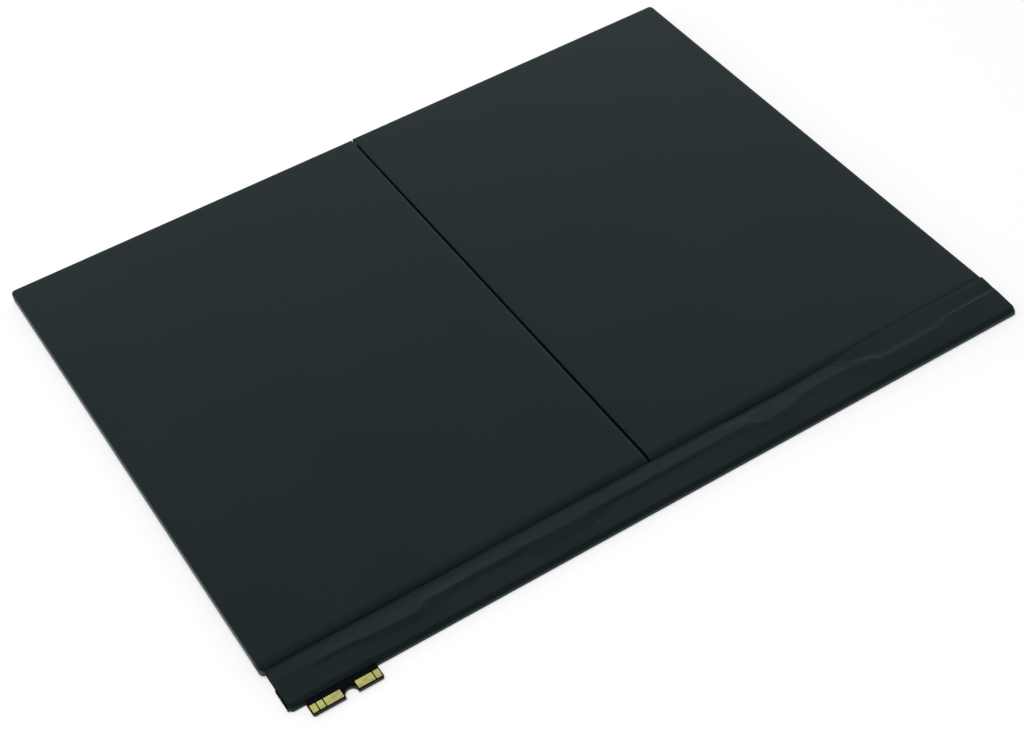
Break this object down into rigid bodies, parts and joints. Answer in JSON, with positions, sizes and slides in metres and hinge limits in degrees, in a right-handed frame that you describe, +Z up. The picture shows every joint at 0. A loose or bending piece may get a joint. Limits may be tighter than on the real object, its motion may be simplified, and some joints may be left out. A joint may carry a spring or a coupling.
{
  "type": "tablet battery",
  "caption": "Flat tablet battery: thin black pouch cells side by side, a taped terminal strip along the front edge and a contact tongue with gold pads and a screw notch.",
  "frame": {"origin": "bottom centre of the whole pack, on the surface that it lies on", "axes": "+X along the taped strip, away from the contact tongue; +Y from the strip to the cells' back edges; +Z up, out of the pack's top face"},
  "size_m": [0.1844, 0.1446, 0.0027],
  "materials": {
    "cell_film": "black satin outer film of a pouch cell",
    "black_tape": "black satin polyester tape, slightly wrinkled",
    "aluminium_tab": "thin rolled strip",
    "nickel_tab": "thin nickel strip",
    "sealing_film": "milky polymer film",
    "board_black": "black solder mask on glass-fibre laminate",
    "gold_plating": "pale gold plating",
    "chip_black": "moulded chip package",
    "capacitor_tan": "fired ceramic with tinned ends",
    "resistor_black": "black glazed chip",
    "fuse_white": "white ceramic body",
    "amber_tape": "amber polyimide tape",
    "foam_grey": "dark closed-cell foam"
  },
  "bodies": {
    "root": {"cell_left": "cell_film", "cell_right": "cell_film", "left_positive_tab": "aluminium_tab", "left_negative_tab": "nickel_tab", "right_positive_tab": "aluminium_tab", "right_negative_tab": "nickel_tab", "tab_sealing_films": "sealing_film", "protection_board": "board_black", "weld_plates": "nickel_tab", "power_contact_pads": "gold_plating", "signal_contact_pads": "gold_plating", "power_transistors": "chip_black", "fuel_gauge_chip": "chip_black", "protection_chip": "chip_black", "sense_resistor": "resistor_black", "chip_fuse": "fuse_white", "chip_capacitors": "capacitor_tan", "chip_resistors": "resistor_black", "thermistors": "resistor_black", "left_terrace_insulator": "amber_tape", "right_terrace_insulator": "amber_tape", "left_foam_strip": "foam_grey", "right_foam_strip": "foam_grey", "component_cover_tape": "amber_tape", "strip_wrapping_tape": "black_tape", "cell_joining_tape": "black_tape"}
  },
  "joints": []
}
